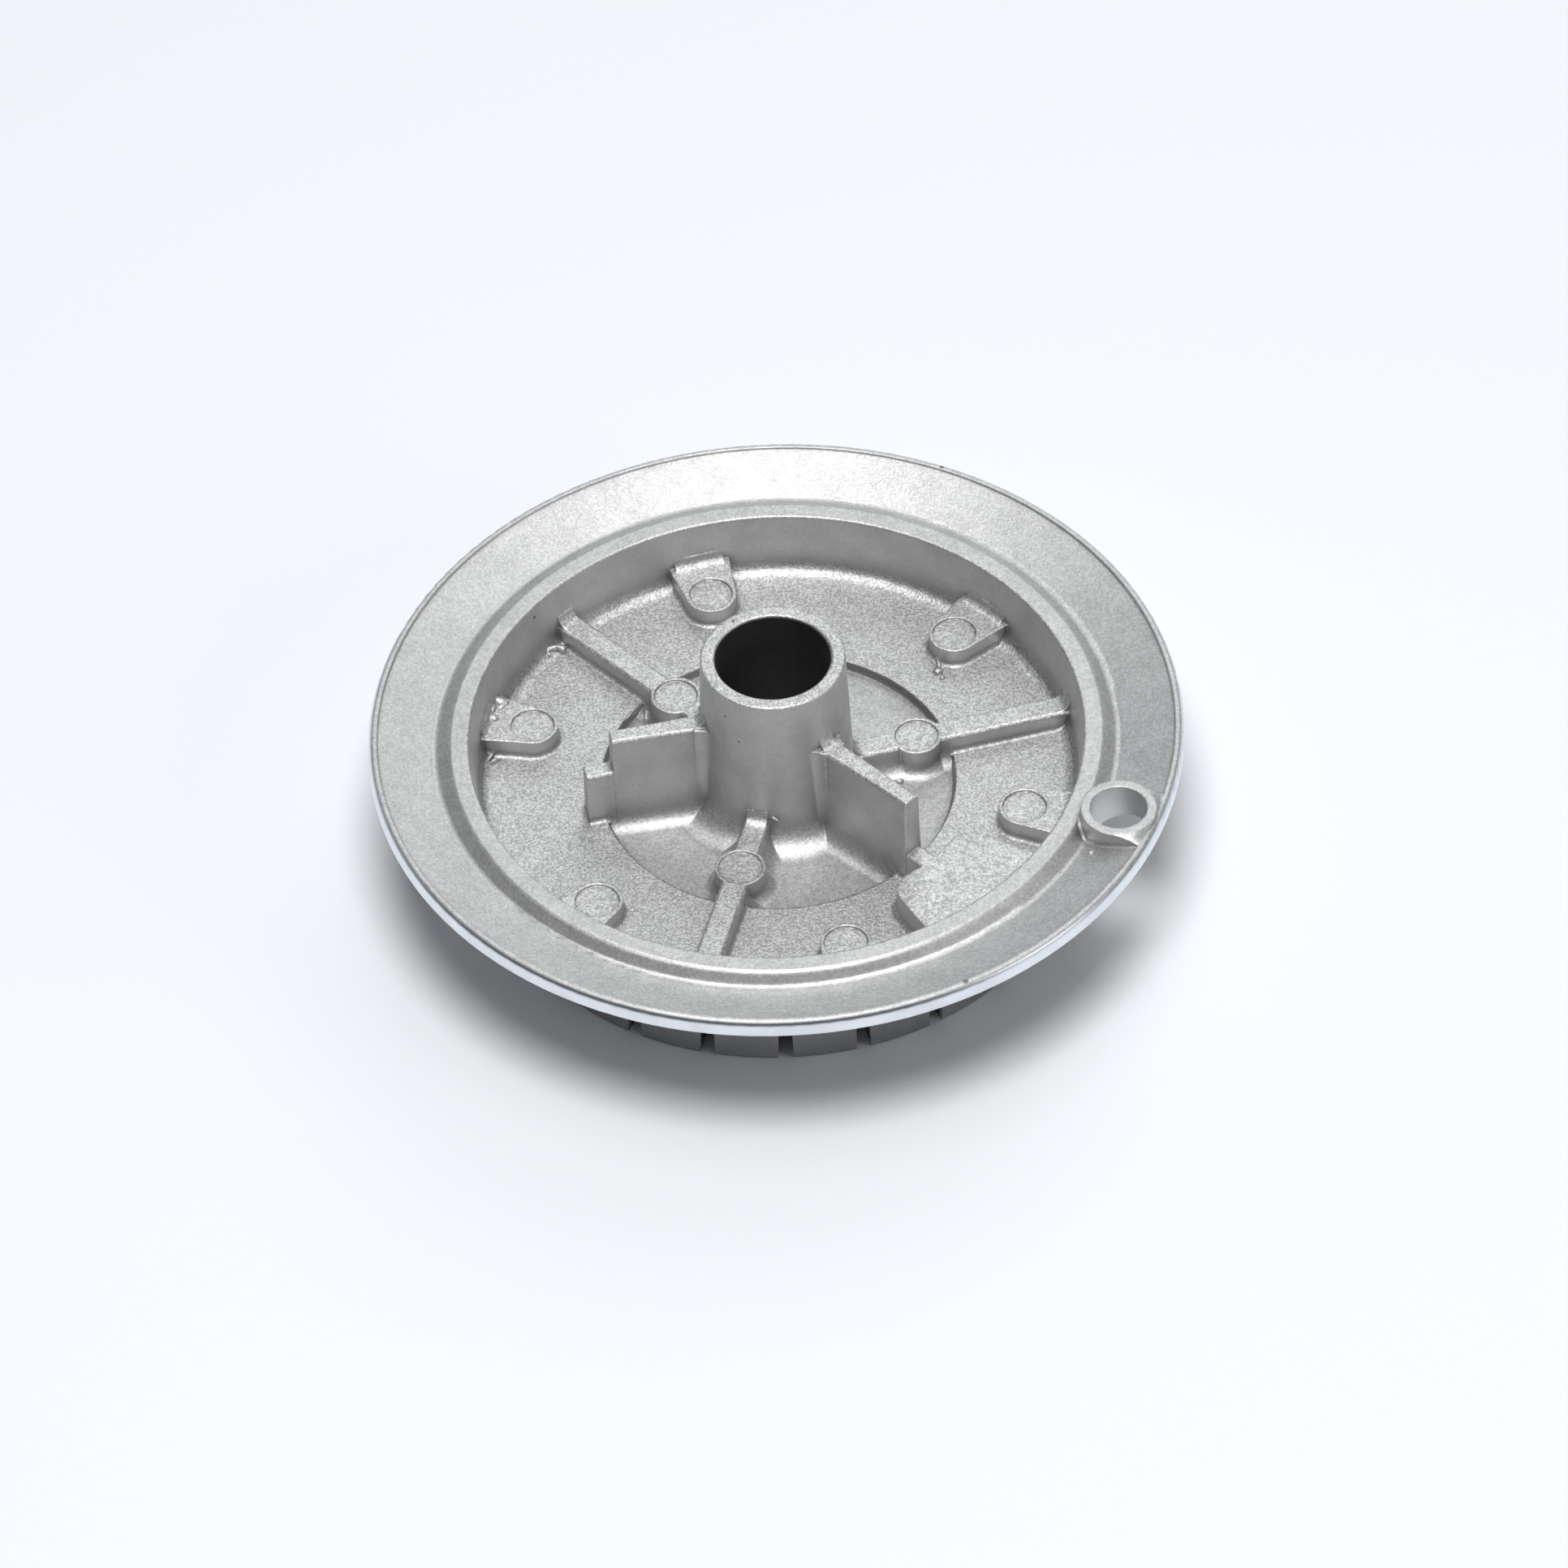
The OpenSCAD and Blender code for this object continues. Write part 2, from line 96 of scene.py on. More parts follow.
# Bands of radius in mm over which the material's masks change, the line's as a distance from the disc's
# edge and the rim's as a width
BORE_R = (7.15, 7.35)
DISC_SHADE_R = (14.5, DISC_R)
DISC_EDGE_R = (DISC_R - 0.3, DISC_R)
DISC_LINE_REACH = (0.1, 0.26)
LOW_WALLS_R = (35.5, 36.0)
CHAMBER_R = (35.7, 36.3)
CROWN_R = (36.2, 36.4)
RECESS_R = (36.6, 37.0)
FLANGE_R = (37.6, 38.2)
COLLAR_SIDE_R = (TOP_R[0] + 0.25, TOP_R[1] - 0.3)
RIM_FADE = 0.1

# Bands of level in mm over which the material's masks change
CROWN_FACE_Z = (0.1, 0.3)
CHAMBER_ROOF_Z = (9.2, 9.5)
DISC_FOOT_Z = (9.5, 9.7)
DISC_LINE_Z = (11.0, 11.2)
DISC_TOP_Z = (11.0, 12.0)
RECESS_FLOOR_Z = (11.1, 11.6)
LOW_WALLS_FOOT_Z = (9.5, 9.9)
LOW_WALLS_TOP_Z = (10.0, 17.0)
CROWN_Z = (11.0, 15.0)
RIM_Z = (14.5, 15.5)
COLLAR_Z = (TOP_Z[0] + 0.2, TOP_Z[0] + 0.5)
BORE_Z = (31.7, 32.1)

# Part of a face's normal that is upright, from a wall to a level face
LEVEL_BAND = (0.2, 0.7)

# Blasted grain: each noise's scale against the grain's size, its detail and its roughness
GRAIN_SIZE = 0.00031
FINE_NOISE = (1.0, 3.0, 0.6)
COARSE_NOISE = (0.45, 1.0, 0.5)
# Noise that picks the few grains which get a painted glint
PAINTED_GLINT_NOISE = (0.8, 1.0, 0.5)
CLOUD_NOISE = (0.09, 3.0, 0.6)
FINE_SHARE = 0.78
COARSE_SHARE = 0.22

# Values of the noises over which each mask of the grain goes from 0 to 1
SPECKLE_BAND = (0.38, 0.62)
# Band of the painted glints
PAINTED_GLINT_BAND = (0.66, 0.76)
CLOUD_BAND = (0.3, 0.7)

# Painted highlight on edges: how far the rounded normal agrees with the face's own, and how much of the
# highlight the low grains get too
EDGE_HIGHLIGHT_BAND = (0.75, 0.97)
EDGE_HIGHLIGHT_LOW_GRAINS = 0.4
BEVEL_SAMPLES = 6
# Samples of the ambient occlusion that paints shade into the creases
CREASE_SAMPLES = 4

SMOOTH_ANGLE = math.radians(50)

# Stage: half the floor's width in metres, its finish, and the room's colour
FLOOR_HALF = 3.0
FLOOR_ROUGHNESS = 0.7
FLOOR_GLOSS = 0.2
ROOM_COLOR = (0.90, 0.95, 1.0, 1.0)

# Camera: the lip's level and the aim's place right and up of the lip's centre, in metres
LIP_LEVEL = 0.0203
AIM_RIGHT = 0.00101336
AIM_UP = -0.00709610
SENSOR_WIDTH = 36.0
CLIP_NEAR = 0.01
CLIP_FAR = 20.0


# Properties

class BurnerFinish(bpy.types.PropertyGroup):
    """Colours, grain, and painted light and shade of the blasted aluminium casting."""

    metal: bpy.props.FloatVectorProperty(
        name="Metal", description="Colour of the bare casting", subtype="COLOR",
        size=3, min=0.0, max=1.0, default=(0.612, 0.612, 0.61))
    roughness: bpy.props.FloatProperty(
        name="Roughness", description="Roughness of the blasted faces", min=0.05, max=1.0, default=0.54)
    grain_size: bpy.props.FloatProperty(
        name="Grain size", description="Size of one grain of the blasted faces",
        unit="LENGTH", subtype="DISTANCE", min=0.00005, max=0.002, default=GRAIN_SIZE)
    grain_depth: bpy.props.FloatProperty(
        name="Grain depth", description="Depth of the blasted grain",
        unit="LENGTH", subtype="DISTANCE", min=0.0, max=0.0005, default=0.00008)
    grain_tone: bpy.props.FloatProperty(
        name="Grain contrast", description="Difference in tone between high and low grains",
        min=0.0, max=1.0, default=0.54)
    # Painted glints: a few grains are lighter in colour, standing in for glints of light off the blasted
    # grain
    painted_glint_tone: bpy.props.FloatProperty(
        name="Sparkle", description="How far the few bright grains stand out",
        min=0.0, max=2.0, default=0.45)
    cloud_tone: bpy.props.FloatProperty(
        name="Cloudiness", description="Difference in tone of the broad clouds",
        min=0.0, max=1.0, default=0.1)
    wall_grain: bpy.props.FloatProperty(
        name="Grain of walls", description="Share of the grain on upright faces",
        min=0.0, max=1.0, default=0.15)
    flange_grain: bpy.props.FloatProperty(
        name="Grain of the flange", description="Share of the grain on the flange",
        min=0.0, max=1.0, default=0.45)
    disc_grain: bpy.props.FloatProperty(
        name="Grain of the disc", description="Share of the grain on the sunk disc",
        min=0.0, max=1.0, default=0.6)
    # Painted shade: the bore is darkened in colour for the shade deep inside it
    bore_shade_tone: bpy.props.FloatProperty(
        name="Bore", description="Tone of the painted shade in the bore", min=0.0, max=1.0, default=0.3)
    # Painted shade inside the flame slots and the chamber
    slot_shade_tone: bpy.props.FloatProperty(
        name="Slots", description="Tone inside the flame slots and the chamber",
        min=0.0, max=1.0, default=0.35)
    # Painted shade on the crown's outer wall, under the flange
    crown_shade_tone: bpy.props.FloatProperty(
        name="Crown", description="Tone of the crown's outer wall", min=0.0, max=1.0, default=0.7)
    # Painted shade of the pits: dark spots, the pits themselves are not modelled
    pit_shade_tone: bpy.props.FloatProperty(
        name="Pits", description="Tone of the pits in the skin", min=0.0, max=1.0, default=0.35)
    # Painted shade on the recess floor
    recess_floor_shade_tone: bpy.props.FloatProperty(
        name="Recess floor", description="Tone of the recess floor", min=0.0, max=1.5, default=0.94)
    # Painted shade on the sides of ribs, pads and vanes, fading out upwards
    low_wall_shade_tone: bpy.props.FloatProperty(
        name="Low walls", description="Tone of the sides of ribs and pads", min=0.0, max=1.5, default=0.8)
    # Painted shade on the sunk disc, darker towards its edge
    disc_shade_tone: bpy.props.FloatProperty(
        name="Disc", description="Tone towards the sunk disc's edge", min=0.0, max=1.0, default=0.84)
    # Painted shadow: a dark line along the sunk disc's edge
    disc_line_shadow_tone: bpy.props.FloatProperty(
        name="Disc line", description="Tone of the line at the sunk disc's edge",
        min=0.0, max=1.0, default=0.6)
    edge_radius: bpy.props.FloatProperty(
        name="Edge radius", description="Radius at which light rolls over the casting's sharp edges",
        unit="LENGTH", subtype="DISTANCE", min=0.0, max=0.001, default=0.00035)
    # Painted highlight: the edges are lighter in colour, most on the high grains
    edge_highlight_tone: bpy.props.FloatProperty(
        name="Edges", description="Tone of the painted highlight on edges", min=0.0, max=2.0, default=1.36)
    # Painted shade in the creases, from ambient occlusion
    crease_shade_tone: bpy.props.FloatProperty(
        name="Creases", description="Tone in the deepest creases", min=0.0, max=1.0, default=0.2)
    # Reach of the painted shade in the creases
    crease_shade_reach: bpy.props.FloatProperty(
        name="Crease reach", description="How far from a foot the crease darkens the casting",
        unit="LENGTH", subtype="DISTANCE", min=0.0001, max=0.01, default=0.0011)
    collar_rise: bpy.props.FloatProperty(
        name="Collar rise", description="Extra height that the shading gives the collar's sloping side",
        unit="LENGTH", subtype="DISTANCE", min=0.0, max=0.002, default=0.0005)
    # Outside this radius the rolled edge is smooth, and its colour carries a painted reflection
    rim_radius: bpy.props.FloatProperty(
        name="Polished rim", description="Radius outside which the rolled edge is smooth and bright",
        unit="LENGTH", subtype="DISTANCE", min=0.04, max=0.06, default=0.04962)
    # The rolled edge's own colour with a painted reflection: its bluish tint stands in for the pale room it
    # reflects
    rim_metal_and_painted_reflection: bpy.props.FloatVectorProperty(
        name="Rim metal", description="Colour of the smooth rolled edge", subtype="COLOR",
        size=3, min=0.0, max=1.0, default=(0.76, 0.80, 0.84))
    rim_roughness: bpy.props.FloatProperty(
        name="Rim roughness", description="Roughness of the rolled edge", min=0.02, max=1.0, default=0.3)


class BurnerStage(bpy.types.PropertyGroup):
    """Floor, light and camera."""

    floor_color: bpy.props.FloatVectorProperty(
        name="Floor", description="Colour of the floor", subtype="COLOR",
        size=3, min=0.0, max=1.0, default=(0.858, 0.871, 0.90))
    key_power: bpy.props.FloatProperty(
        name="Key light", description="Power of the main light, high in front", subtype="POWER",
        min=0.0, max=500.0, default=10.4)
    soft_power: bpy.props.FloatProperty(
        name="Soft light", description="Power of the wide light overhead", subtype="POWER",
        min=0.0, max=500.0, default=2.4)
    back_power: bpy.props.FloatProperty(
        name="Back light", description="Power of the low light behind", subtype="POWER",
        min=0.0, max=500.0, default=2.35)
    side_power: bpy.props.FloatProperty(
        name="Side light", description="Power of the low light at the right", subtype="POWER",
        min=0.0, max=500.0, default=1.9)
    room_level: bpy.props.FloatProperty(
        name="Room", description="Brightness of the room all round", min=0.0, max=2.0, default=0.075)
    backdrop_level: bpy.props.FloatProperty(
        name="Backdrop", description="Brightness that the room gains towards the back",
        min=0.0, max=2.0, default=0.38)
    camera_distance: bpy.props.FloatProperty(
        name="Camera distance", description="Distance from the camera to the lip's centre",
        unit="LENGTH", subtype="DISTANCE", min=0.3, max=5.0, default=1.5)
    camera_height: bpy.props.FloatProperty(
        name="Camera height", description="Angle of the camera above the floor",
        unit="ROTATION", subtype="ANGLE", min=0.0, max=math.pi / 2, default=math.radians(45.78007))
    camera_roll: bpy.props.FloatProperty(
        name="Camera roll", description="Roll of the camera about its own axis",
        unit="ROTATION", subtype="ANGLE", min=-math.pi, max=math.pi, default=math.radians(-2.562592))
    camera_lens: bpy.props.FloatProperty(
        name="Lens", description="Focal length on a 36 mm sensor", unit="CAMERA",
        subtype="DISTANCE_CAMERA", min=20.0, max=600.0, default=281.1899)


# Shared shading

def link(tree, out, into):
    tree.links.new(out, into)


def math_node(tree, kind, *values):
    """One Math node; values are numbers or sockets."""
    node = tree.nodes.new("ShaderNodeMath")
    node.operation = kind
    for socket, value in zip(node.inputs, values):
        if isinstance(value, (int, float)):
            socket.default_value = value
        else:
            link(tree, value, socket)
    return node.outputs[0]


def product(tree, *values):
    """Product of numbers and sockets."""
    result = values[0]
    for value in values[1:]:
        result = math_node(tree, "MULTIPLY", result, value)
    return result


def rest(tree, mask):
    """1 where the mask is 0, and 0 where it is 1."""
    return math_node(tree, "SUBTRACT", 1.0, mask)


def toned(tree, mask, tone):
    """1 where the mask is 0, and tone where it is 1."""
    return math_node(tree, "MULTIPLY_ADD", mask, tone - 1.0, 1.0)


def ramp(tree, value, low, high):
    """0 below low, 1 above high, and a smooth step between."""
    node = tree.nodes.new("ShaderNodeMapRange")
    node.interpolation_type = "SMOOTHSTEP"
    node.inputs["From Min"].default_value = low
    node.inputs["From Max"].default_value = high
    link(tree, value, node.inputs["Value"])
    return node.outputs["Result"]


def fall(tree, value, low, high):
    """1 below low, 0 above high, and a smooth step between."""
    return rest(tree, ramp(tree, value, low, high))


def above(tree, length, band):
    """0 below the band and 1 above it. The length is in metres and the band in mm."""
    low, high = band
    return ramp(tree, length, low * MM, high * MM)


def below(tree, length, band):
    """1 below the band and 0 above it. The length is in metres and the band in mm."""
    return rest(tree, above(tree, length, band))


def near(tree, place, spot, size):
    """1 within the core of the size in mm round the spot, fading to 0 at the size."""
    node = tree.nodes.new("ShaderNodeVectorMath")
    node.operation = "DISTANCE"
    link(tree, place, node.inputs[0])
    node.inputs[1].default_value = [value * MM for value in spot]
    return fall(tree, node.outputs["Value"], PIT_SHADE_CORE * size * MM, size * MM)


def noise(tree, vector, scale, detail, rough):
    node = tree.nodes.new("ShaderNodeTexNoise")
    node.inputs["Scale"].default_value = scale
    node.inputs["Detail"].default_value = detail
    node.inputs["Roughness"].default_value = rough
    link(tree, vector, node.inputs["Vector"])
    return node.outputs["Fac"]


def grain_group():
    """Blasted grain: two sizes of noise, put out as a height from 0 to 1, a speckle mask of the grains
    that stand out, a mask of the few grains that get a painted glint, and broad clouds of tone."""
    name = "Blasted grain"
    if name in bpy.data.node_groups:
        return bpy.data.node_groups[name]
    tree = bpy.data.node_groups.new(name, "ShaderNodeTree")
    face = tree.interface
    face.new_socket("Vector", in_out="INPUT", socket_type="NodeSocketVector")
    size = face.new_socket("Size", in_out="INPUT", socket_type="NodeSocketFloat")
    size.default_value = GRAIN_SIZE
    for out in ("Height", "Speckle", "Sparkle", "Clouds"):
        face.new_socket(out, in_out="OUTPUT", socket_type="NodeSocketFloat")
    into = tree.nodes.new("NodeGroupInput")
    outof = tree.nodes.new("NodeGroupOutput")
    per_metre = math_node(tree, "DIVIDE", 1.0, into.outputs["Size"])
    scaled = tree.nodes.new("ShaderNodeVectorMath")
    scaled.operation = "SCALE"
    link(tree, into.outputs["Vector"], scaled.inputs[0])
    link(tree, per_metre, scaled.inputs["Scale"])
    grains = scaled.outputs[0]
    fine = math_node(tree, "MULTIPLY", noise(tree, grains, *FINE_NOISE), FINE_SHARE)
    coarse = math_node(tree, "MULTIPLY", noise(tree, grains, *COARSE_NOISE), COARSE_SHARE)
    height = math_node(tree, "ADD", fine, coarse)
    link(tree, height, outof.inputs["Height"])
    link(tree, ramp(tree, height, *SPECKLE_BAND), outof.inputs["Speckle"])
    link(tree, ramp(tree, noise(tree, grains, *PAINTED_GLINT_NOISE), *PAINTED_GLINT_BAND), outof.inputs["Sparkle"])
    link(tree, ramp(tree, noise(tree, grains, *CLOUD_NOISE), *CLOUD_BAND), outof.inputs["Clouds"])
    return tree


def casting_masks(tree, place, face_normal, finish):
    """Masks of the casting's parts by radius, level and slope, each 1 on the part it is named for."""
    apart = tree.nodes.new("ShaderNodeSeparateXYZ")
    link(tree, place, apart.inputs[0])
    x, y, z = apart.outputs
    radius = math_node(tree, "SQRT", math_node(tree, "ADD", product(tree, x, x), product(tree, y, y)))
    facing = tree.nodes.new("ShaderNodeSeparateXYZ")
    link(tree, face_normal, facing.inputs[0])
    level = ramp(tree, math_node(tree, "ABSOLUTE", facing.outputs[2]), *LEVEL_BAND)
    over_disc = above(tree, z, DISC_FOOT_Z)
    from_line = math_node(tree, "ABSOLUTE", math_node(tree, "SUBTRACT", radius, DISC_R * MM))
    on_disc = product(tree, below(tree, radius, DISC_EDGE_R), below(tree, z, DISC_TOP_Z), over_disc)
    rim_outside = ramp(tree, radius, finish.rim_radius, finish.rim_radius + RIM_FADE * MM)
    return {
        "level": level,
        "rim": product(tree, rim_outside, above(tree, z, RIM_Z)),
        "bore": product(tree, below(tree, radius, BORE_R), below(tree, z, BORE_Z)),
        "inside": product(tree, below(tree, radius, CHAMBER_R), below(tree, z, CHAMBER_ROOF_Z),
                          above(tree, z, CROWN_FACE_Z)),
        "crown": product(tree, below(tree, z, CROWN_Z), above(tree, radius, CROWN_R)),
        "recess floor": product(tree, below(tree, radius, RECESS_R), below(tree, z, RECESS_FLOOR_Z), level),
        "low walls": product(tree, below(tree, radius, LOW_WALLS_R), below(tree, z, LOW_WALLS_TOP_Z),
                             rest(tree, level), above(tree, z, LOW_WALLS_FOOT_Z)),
        "disc": on_disc,
        "disc shade": product(tree, on_disc, above(tree, radius, DISC_SHADE_R)),
        "disc line": product(tree, below(tree, from_line, DISC_LINE_REACH), below(tree, z, DISC_LINE_Z),
                             over_disc),
        "flange": above(tree, radius, FLANGE_R),
        "collar rise": below(tree, radius, COLLAR_SIDE_R),
        "collar": product(tree, below(tree, z, COLLAR_Z), level),
    }


def casting_tone(tree, place, masks, grain, grain_part, finish):
    """Tone of the skin: speckle, painted glints and clouds, times the painted shade of each part and of the
    pits.
    """
    speckle = product(tree, math_node(tree, "SUBTRACT", grain.outputs["Speckle"], 0.5),
                      grain_part, finish.grain_tone)
    clouds = product(tree, math_node(tree, "SUBTRACT", grain.outputs["Clouds"], 0.5), finish.cloud_tone)
    # Painted glint on a few grains
    painted_glint = product(tree, grain.outputs["Sparkle"], grain_part, finish.painted_glint_tone)
    tone = math_node(tree, "ADD", math_node(tree, "ADD", 1.0, painted_glint),
                     math_node(tree, "ADD", speckle, clouds))
    parts = (
        # Painted shade inside the bore
        ("bore", finish.bore_shade_tone),
        # Painted shade inside the flame slots and the chamber
        ("inside", finish.slot_shade_tone),
        # Painted shade on the crown's outer wall, under the flange
        ("crown", finish.crown_shade_tone),
        # Painted shade on the recess floor
        ("recess floor", finish.recess_floor_shade_tone),
        # Painted shade on the low walls, fading out upwards
        ("low walls", finish.low_wall_shade_tone),
        # Painted shadow line along the sunk disc's edge
        ("disc line", finish.disc_line_shadow_tone),
        # Painted shade on the sunk disc towards its edge
        ("disc shade", finish.disc_shade_tone),
    )
    for part, part_tone in parts:
        tone = product(tree, tone, toned(tree, masks[part], part_tone))
    # Painted shade of the pits
    for *spot, size in PIT_SHADES:
        tone = product(tree, tone, toned(tree, near(tree, place, spot, size), finish.pit_shade_tone))
    return tone


def painted_edge_and_crease_tone(tree, normal, rounded_normal, grain, finish):
    """Painted highlight on the edges, where the rounded normal turns from the face's own, and painted shade
    in the creases.
    """
    agreement = tree.nodes.new("ShaderNodeVectorMath")
    agreement.operation = "DOT_PRODUCT"
    link(tree, rounded_normal, agreement.inputs[0])
    link(tree, normal, agreement.inputs[1])
    # Painted highlight: edges lighten where the rounded normal turns away, most on the high grains
    painted_edge_highlight = product(tree, fall(tree, agreement.outputs["Value"], *EDGE_HIGHLIGHT_BAND),
                   math_node(tree, "ADD", grain.outputs["Speckle"], EDGE_HIGHLIGHT_LOW_GRAINS))
    # Painted shade: ambient occlusion darkens the colour in the creases
    hollow = tree.nodes.new("ShaderNodeAmbientOcclusion")
    hollow.samples = CREASE_SAMPLES
    hollow.only_local = True
    hollow.inputs["Distance"].default_value = finish.crease_shade_reach
    crease_shade = rest(tree, hollow.outputs["AO"])
    return product(tree, toned(tree, painted_edge_highlight, finish.edge_highlight_tone), toned(tree, crease_shade, finish.crease_shade_tone))


def cast_aluminium(finish):
    """Blasted aluminium: a metal whose grain fades on steep walls, with painted highlights on its edges and
    painted glints on a few grains, painted shade in creases, in pits, on the crown under the flange, on the
    recess floor, on the low walls, at the sunk disc's edge and inside bore, slots and chamber, and a smooth
    rolled edge whose bluish tint is a painted reflection. A bump makes the collar's sloping side look
    steeper, and a finer one gives the grain."""
    material = bpy.data.materials.new("Cast aluminium")
    material.use_nodes = True
    tree = material.node_tree
    tree.nodes.clear()
    output = tree.nodes.new("ShaderNodeOutputMaterial")
    shader = tree.nodes.new("ShaderNodeBsdfPrincipled")
    link(tree, shader.outputs["BSDF"], output.inputs["Surface"])
    shader.inputs["Metallic"].default_value = 1.0
    place = tree.nodes.new("ShaderNodeTexCoord").outputs["Object"]
    geometry = tree.nodes.new("ShaderNodeNewGeometry")
    masks = casting_masks(tree, place, geometry.outputs["True Normal"], finish)

    grain = tree.nodes.new("ShaderNodeGroup")
    grain.node_tree = grain_group()
    grain.inputs["Size"].default_value = finish.grain_size
    link(tree, place, grain.inputs["Vector"])
    blasted = math_node(tree, "MULTIPLY_ADD", masks["level"], 1.0 - finish.wall_grain, finish.wall_grain)
    grain_part = product(tree, blasted, toned(tree, masks["flange"], finish.flange_grain),
                         toned(tree, masks["disc"], finish.disc_grain), rest(tree, masks["rim"]))

    rounded = tree.nodes.new("ShaderNodeBevel")
    rounded.samples = BEVEL_SAMPLES
    rounded.inputs["Radius"].default_value = finish.edge_radius
    tone = product(tree, casting_tone(tree, place, masks, grain, grain_part, finish),
                   painted_edge_and_crease_tone(tree, geometry.outputs["Normal"], rounded.outputs[0], grain, finish))

    # The rolled edge's colour carries a painted reflection: a bluish tint of the pale room
    # A Mix node has several inputs named A and B: 4 and 5 are its vectors, 2 and 3 its numbers
    tint = tree.nodes.new("ShaderNodeMix")
    tint.data_type = "VECTOR"
    link(tree, masks["rim"], tint.inputs["Factor"])
    tint.inputs[4].default_value = tuple(finish.metal)
    tint.inputs[5].default_value = tuple(finish.rim_metal_and_painted_reflection)
    colour = tree.nodes.new("ShaderNodeVectorMath")
    colour.operation = "SCALE"
    link(tree, tint.outputs[1], colour.inputs[0])
    link(tree, tone, colour.inputs["Scale"])
    link(tree, colour.outputs[0], shader.inputs["Base Color"])
    rough = tree.nodes.new("ShaderNodeMix")
    link(tree, masks["rim"], rough.inputs[0])
    rough.inputs[2].default_value = finish.roughness
    rough.inputs[3].default_value = finish.rim_roughness
    link(tree, rough.outputs[0], shader.inputs["Roughness"])

    collar = tree.nodes.new("ShaderNodeBump")
    collar.inputs["Distance"].default_value = finish.collar_rise
    link(tree, masks["collar rise"], collar.inputs["Height"])
    link(tree, masks["collar"], collar.inputs["Strength"])
    link(tree, rounded.outputs[0], collar.inputs["Normal"])
    bump = tree.nodes.new("ShaderNodeBump")
    bump.inputs["Distance"].default_value = finish.grain_depth
    link(tree, collar.outputs[0], bump.inputs["Normal"])
    link(tree, grain_part, bump.inputs["Strength"])
    link(tree, grain.outputs["Height"], bump.inputs["Height"])
    link(tree, bump.outputs[0], shader.inputs["Normal"])
    return material


def pale_floor(color):
    """Plain matt floor."""
    material = bpy.data.materials.new("Pale floor")
    material.use_nodes = True
    shader = material.node_tree.nodes["Principled BSDF"]
    shader.inputs["Base Color"].default_value = (*color, 1.0)
    shader.inputs["Roughness"].default_value = FLOOR_ROUGHNESS
    shader.inputs["Specular IOR Level"].default_value = FLOOR_GLOSS
    return material


# Surfaces

def add_piece(name, grids):
    """One piece of k closed bodies. grids has the shape (k, m, n, 3): each body is m loops of n points, whose
    ends are closed by a fan round the mean of the end loop. Faces are turned outward by the signed volume."""
    k, m, n, _ = grids.shape
    ends = grids[:, (0, -1)].mean(axis=2)
    points = np.concatenate([grids.reshape(k, m * n, 3), ends], axis=1)
    row, column = np.meshgrid(np.arange(m - 1), np.arange(n), indexing="ij")
    here = row * n
    next_row = here + n
    after = (column + 1) % n
    corners = np.stack([here + column, here + after, next_row + after, next_row + column], axis=-1)
    corners = corners.reshape(-1, 4)
    around = np.arange(n)
    onward = (around + 1) % n
    last_loop = (m - 1) * n
    first = np.stack([np.full(n, m * n), onward, around], axis=-1)
    last = np.stack([np.full(n, m * n + 1), last_loop + around, last_loop + onward], axis=-1)
    triangles = np.concatenate([first, last, corners[:, (0, 1, 2)], corners[:, (0, 2, 3)]])
    a, b, c = np.moveaxis(points[:, triangles], 2, 0)
    volume = np.einsum("kti,kti->k", a, np.cross(b, c))
    faces = np.where(volume[:, None, None] < 0, triangles[:, ::-1], triangles)
    faces = faces + np.arange(k)[:, None, None] * points.shape[1]
    mesh = bpy.data.meshes.new(name)
    mesh.from_pydata(points.reshape(-1, 3) * MM, [], faces.reshape(-1, 3))
    mesh.shade_smooth()
    mesh.set_sharp_from_angle(angle=SMOOTH_ANGLE)
    piece = bpy.data.objects.new(name, mesh)
    bpy.context.scene.collection.objects.link(piece)
    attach(piece, "root")
    piece.data.materials.clear()
    piece.data.materials.append(bpy.data.materials["Cast aluminium"])


